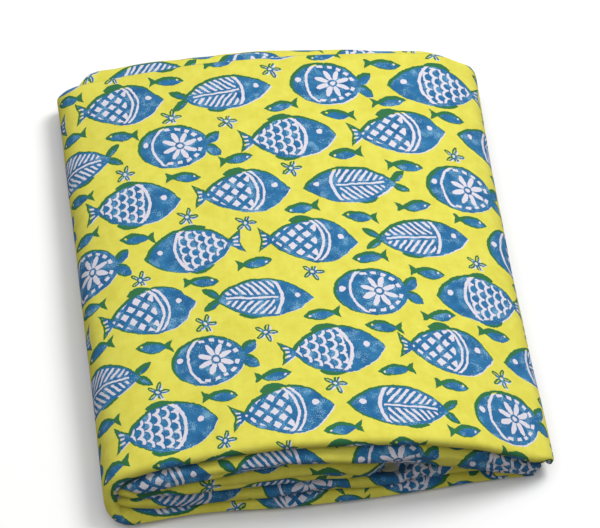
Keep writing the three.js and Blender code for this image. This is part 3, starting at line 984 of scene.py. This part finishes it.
def select_only(piece):
    deselect_all()
    piece.select_set(True)
    bpy.context.view_layer.objects.active = piece


def flat_cloth(name, width, length, step):
    """Adds a flat grid of the cloth's real size, in millimetres, with a corner at the origin."""
    deselect_all()
    bpy.ops.mesh.primitive_grid_add(
        x_subdivisions=round(width / step), y_subdivisions=round(length / step), size=1
    )
    cloth = bpy.context.object
    cloth.name = cloth.data.name = name
    bpy.ops.object.mode_set(mode="EDIT")
    bpy.ops.transform.translate(value=(0.5, 0.5, 0))
    bpy.ops.transform.resize(value=(width * MM, length * MM, 1), center_override=(0, 0, 0))
    bpy.ops.object.mode_set(mode="OBJECT")
    return cloth


def keep_print_map(cloth, start, turn):
    """Keeps the flat coordinates, in metres, as the map that the print follows. turn is 1 where
    the cloth was folded from left to right, and -1 where it was folded from right to left."""
    cloth.data.uv_layers[0].name = "OFBake"
    layer = cloth.data.uv_layers.new(name="Cloth")
    vertices = cloth.data.vertices
    for loop in cloth.data.loops:
        across, along, _ = vertices[loop.vertex_index].co
        layer.data[loop.index].uv = (start[0] + turn * along, start[1] - turn * across)
    layer.active_render = True


SHARPEST_SMOOTH_EDGE = math.radians(50)
FACE_SHARE = 0.9  # of the picture that is baked, for the face of the cloth
REVERSE_SHARE = 0.08  # and for its reverse, at the top of the picture


def park_inner_faces(cloth, outer_faces):
    """Gives the face most of the map for baking, and the reverse a strip at its top."""
    layer = cloth.data.uv_layers["OFBake"]
    for polygon in cloth.data.polygons:
        inner = outer_faces <= polygon.index < 2 * outer_faces
        share, begin = (REVERSE_SHARE, 1 - REVERSE_SHARE) if inner else (FACE_SHARE, 0)
        for loop in polygon.loop_indices:
            u, v = layer.data[loop].uv
            layer.data[loop].uv = (u, begin + share * v)


def make_sheet(
    name, nodes, width, length, step, place, print_start, creases=(), turn=1, wrinkle=0
):
    """Cuts, maps, folds, creases and thickens one stretch of cloth."""
    cloth = flat_cloth(name, width, length, step)
    keep_print_map(cloth, print_start, turn)
    flat_points = [Vector((v.co.x, v.co.y)) / MM for v in cloth.data.vertices]
    for vertex, point in zip(cloth.data.vertices, flat_points):
        vertex.co = place(point.x, point.y)
    cloth.data.update()
    shift = (CAD_WALL - CLOTH_THICKNESS) / 2
    lowest = CLOTH_THICKNESS / 2 * MM
    normals = [vertex.normal.copy() for vertex in cloth.data.vertices]
    for vertex, point, normal in zip(cloth.data.vertices, flat_points, normals):
        vertex.co += normal * (shift - crease_depth(creases, point, wrinkle)) * MM
        vertex.co.z = max(vertex.co.z, lowest)
    outer_faces = len(cloth.data.polygons)
    cloth.data.materials.append(COTTON_FACE)
    cloth.data.materials.append(COTTON_REVERSE)
    wall = cloth.modifiers.new("Wall", "SOLIDIFY")
    wall.thickness = CLOTH_THICKNESS * MM
    wall.offset = 0
    wall.material_offset = 1
    select_only(cloth)
    bpy.ops.object.modifier_apply(modifier=wall.name)
    park_inner_faces(cloth, outer_faces)
    bpy.ops.object.shade_smooth_by_angle(angle=SHARPEST_SMOOTH_EDGE)
    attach(cloth, "root")
    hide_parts(*nodes)
    length * MM
    triangles = sum(len(polygon.vertices) - 2 for polygon in cloth.data.polygons)
    print(f"{name}: {width:.0f} x {length:.0f} mm flat, {triangles} triangles")


# %% [markdown]
# ## The outer layer
#
# The outermost layer is one stretch of cloth, but it is made as two sheets that meet
# under the left edge, where no one sees it: the part on show gets a fine mesh, and the
# flat underside a coarse one. The top carries a few long soft creases from the way it was
# folded before, and a dip towards the back left corner.

# %% Outer layer
ACROSS_FLAT = ACROSS_END - ACROSS_START
TOP_CREASES = [  # from the front fold towards the back, and from the right edge to the left
    ((40, 60), (250, 96), 9, 0.5),
    ((150, 150), (300, 168), 7, 0.45),
    ((20, 200), (130, 232), 8, 0.4),
    ((190, 262), (296, 300), 10, 0.7),
    ((30, 290), (200, 312), 8, -0.5),
    ((250, 40), (300, 60), 7, 0.5),
    ((4, 120), (36, 150), 6, 0.5),
    ((4, 236), (40, 226), 6, 0.45),
]


def moved(creases, by):
    """The same creases, moved across the cloth."""
    return [((a + by, b), (c + by, d), width, depth) for (a, b), (c, d), width, depth in creases]


TOP_STEP, UNDERSIDE_STEP = 1.75, 4.0  # the width of the meshes' squares
UNDERSIDE_FLAT = OUTER_PLACES[-1] - UNDERSIDE_START
PRINT_RIGHT_EDGE = 0.3  # where the top's right edge lies on the printed length, in metres

make_sheet(
    "outer_top_sheet",
    ["outer_layer"],
    ACROSS_FLAT,
    UNDERSIDE_START,
    TOP_STEP,
    lambda across, along: outer_point(across + ACROSS_START, along),
    (PRINT_RIGHT_EDGE, ACROSS_START * MM),
    moved(TOP_CREASES, -ACROSS_START),
    turn=-1,
)
make_sheet(
    "outer_underside_sheet",
    ["outer_layer"],
    ACROSS_FLAT,
    UNDERSIDE_FLAT,
    UNDERSIDE_STEP,
    lambda across, along: outer_point(across + ACROSS_START, along + UNDERSIDE_START),
    (PRINT_RIGHT_EDGE - UNDERSIDE_START * MM, ACROSS_START * MM),
    turn=-1,
)

# %% [markdown]
# ## The inner folds
#
# Each inner fold is a sheet bent double: an upper leaf that comes out of the bundle, a
# rounded nose, and a lower leaf that goes back in. A tube with the same outline would be
# quicker, but it would close where the real cloth is open at its ends. The upper fold is
# pinched at its right end, the middle one ends in the hollow, the lower one has a knot
# between two hollows, and each sags a little differently.

# %% Inner folds
FOLD_FLAT = 72  # cloth from the end of the upper leaf round the nose to the end of the lower one
FOLD_STEP = 1.1
FOLD_WRINKLE = 0.8

# Creases from a point below the nose's tip (above it if negative), and from the fold's left end
UPPER_CREASES = [
    ((-3, 12), (2, 118), 2.4, 1.3),
    ((-6, 96), (8, 112), 3.0, 1.6),
    ((6, 60), (3, 100), 2.2, 1.0),
    ((5, 150), (-2, 214), 2.6, 1.3),
    ((-6, 184), (6, 196), 3.0, 1.4),
    ((-4, 205), (-1, 272), 1.8, 1.4),
    ((3, 212), (3.5, 272), 1.6, 1.3),
    ((0, 236), (1, 274), 1.4, 0.9),
]
MIDDLE_CREASES = [
    ((-2, 52), (1, 170), 2.8, 1.9),
    ((5, 26), (4, 104), 2.2, 1.2),
    ((-7, 110), (-6, 168), 2.4, -0.8),
    ((-6, 10), (3, 40), 2.6, 1.5),
    ((-5, 140), (6, 160), 2.4, 1.3),
]
LOWER_CREASES = [
    ((-1, 16), (0, 96), 2.2, 1.3),
    ((3, 100), (-2, 160), 2.4, 1.3),
    ((-15, 160), (-15, 190), 6.5, 7.5),
    ((-15, 197), (-14, 218), 6.0, 4.5),
    ((-9, 184), (6, 187), 1.6, 1.6),
    ((-9, 193), (5, 197), 1.8, 1.6),
    ((-3, 196), (-1, 226), 2.2, 1.4),
]
BACK_CREASES = [
    ((-4, 30), (-3, 122), 3.0, 1.0),
    ((-5, 130), (-2, 240), 3.0, 1.1),
    ((-2, 8), (5, 26), 3.0, 1.3),
]


def make_fold(name, node, rows, leaf_end, creases, print_across, print_along):
    """One inner fold. The print's place is that of the nose's tip at the end where the sheet
    begins. A back fold is laid from right to left, so that its face points out."""
    left, right = rows[0][0], rows[-1][0]
    turn = -1 if leaf_end > 0 else 1
    begin = left if turn == 1 else right
    nose = FOLD_FLAT / 2

    def folded(across, along):
        return fold_point(rows, leaf_end, begin + turn * along, across - nose)

    make_sheet(
        name,
        [node],
        FOLD_FLAT,
        right - left,
        FOLD_STEP,
        folded,
        (print_across, print_along + nose * MM),
        moved(creases, nose),
        turn,
        FOLD_WRINKLE,
    )


def motif_row(number, share=0.5):
    """The height on the printed length, in metres, that lies a share of the way up a row."""
    return (number + share) * REPEAT_HEIGHT * MM


make_fold(
    "upper_fold_sheet",
    "front_fold_upper",
    FRONT_FOLD_UPPER,
    FRONT_LEAF_END,
    UPPER_CREASES,
    0.012,
    motif_row(2),
)
make_fold(
    "middle_fold_sheet",
    "front_fold_middle",
    FRONT_FOLD_MIDDLE,
    FRONT_LEAF_END,
    MIDDLE_CREASES,
    0.087,
    motif_row(4, 0.8),
)
make_fold(
    "lower_fold_sheet",
    "front_fold_lower",
    FRONT_FOLD_LOWER,
    FRONT_LEAF_END,
    LOWER_CREASES,
    0.177,
    motif_row(7, 0.29),
)
make_fold(
    "back_fold_sheet",
    "back_fold",
    BACK_FOLD,
    BACK_LEAF_END,
    BACK_CREASES,
    0.4,
    motif_row(3, 0.31),
)

# %% [markdown]
# ## The edges of the hidden layers
#
# Between the folds the eye sees the edges of layers that never come out: at the right
# side under the hanging edge, below the fold at the back, at the front right corner and in
# the dark hollows at the front. Modelling each of the thirty-two layers would be honest
# and slow. A strip that is folded like an accordion shows the same stacked edges, because
# each pleat is one layer.

# %% Layered edges
PLEAT_DEPTH = 3.2
PLEAT_STEP = 1.1
ROUNDNESS = 0.6  # 1 is a sine wave, and less is a fuller pleat
SHUFFLE = 0.3  # how unevenly the layers stand out, as a share of their depth
DROOP = 0.25  # how unevenly they hang, as a share of their height


def layered_edges(name, place, length, layers, print_start, unevenness=1.0):
    """A strip of cloth pleated into stacked layers. place gives the foot and the outward
    direction of the stack at a distance along it, and the heights that it starts and ends at."""
    height_flat = layers * 2 * PLEAT_DEPTH

    def pleated(across, along):
        foot, outward, bottom, top = place(along)
        pleats = layers * across / height_flat
        layer = math.floor(pleats)
        wave = math.sin(math.pi * (pleats - layer))
        shuffle = SHUFFLE * unevenness * noise.noise(Vector((along / 30, layer * 3.7, 1)))
        droop = DROOP * unevenness * noise.noise(Vector((along / 22, layer * 2.3, 5)))
        point = foot + outward * PLEAT_DEPTH * wave**ROUNDNESS * (1 + shuffle)
        layer_height = (top - bottom) / layers
        return bundle_point(point.x, point.y, top - layer_height * (pleats - droop * wave))

    make_sheet(
        name,
        ["hidden_layers"],
        height_flat,
        length,
        PLEAT_STEP,
        pleated,
        print_start,
    )


def step_up(value, middle, softness):
    return 1 / (1 + math.exp((middle - value) / softness))


def hump(value, middle, width):
    return math.exp(-(((value - middle) / width) ** 2))


RIGHT_X, RIGHT_START, RIGHT_END = 134.5, -144, 151.5
RIGHT_LOW, RIGHT_HIGH = 2.6, 20
REAR_CORNER_RISE = 4.5  # the stack is higher where the back fold ends
BACK_Y, BACK_START, BACK_END = 150.5, 134.5, -132
BACK_LOW = 7.0
HOLLOW_START, HOLLOW_END = 20, 104
HOLLOW_Y = -140  # where the stack stands between the hollows
KNOT_X = 52
FIRST_HOLLOW, KNOT, SECOND_HOLLOW = 12, -7, 5  # how far the stack lies back there
CORNER_START, CORNER_END = 104, 130


def right_edge(along):
    y = RIGHT_START + along
    high = RIGHT_HIGH + REAR_CORNER_RISE * step_up(y, RIGHT_END - 12, 2.5)
    return Vector((RIGHT_X, y)), Vector((1, 0)), RIGHT_LOW, high


def back_edge(along):
    x = BACK_START - along
    high = fold_row(BACK_FOLD, x)["low"] - 1.4
    return Vector((x, BACK_Y)), Vector((0, 1)), BACK_LOW, high


def hollow_edge(along):
    x = HOLLOW_START + along
    y = (
        HOLLOW_Y
        + FIRST_HOLLOW * (1 - step_up(x, KNOT_X - 4, 2.2))
        + KNOT * hump(x, KNOT_X, 4)
        + SECOND_HOLLOW * hump(x, KNOT_X + 15, 7)
    )
    low = fold_row(FRONT_FOLD_LOWER, min(x, 100))["high"] * 0.8
    high = max(fold_row(FRONT_FOLD_UPPER, x)["low"] + 1, low + 3)
    return Vector((x, y)), Vector((0, -1)), low, high


def corner_edge(along):
    x = CORNER_START + along
    high = fold_row(FRONT_FOLD_UPPER, x)["low"] + 0.8
    return Vector((x, -149.6 + 0.06 * along)), Vector((0, -1)), 0.8, high


layered_edges("right_layer_edges", right_edge, RIGHT_END - RIGHT_START, 6, (0.6, 0.5))
layered_edges("back_layer_edges", back_edge, BACK_START - BACK_END, 7, (0.1, 0.7))
layered_edges("corner_layer_edges", corner_edge, CORNER_END - CORNER_START, 3, (0.33, 0.41))
hollow_print = (0.230, motif_row(2) + 0.010)
layered_edges("hollow_layer_edges", hollow_edge, HOLLOW_END - HOLLOW_START, 4, hollow_print, 2.0)
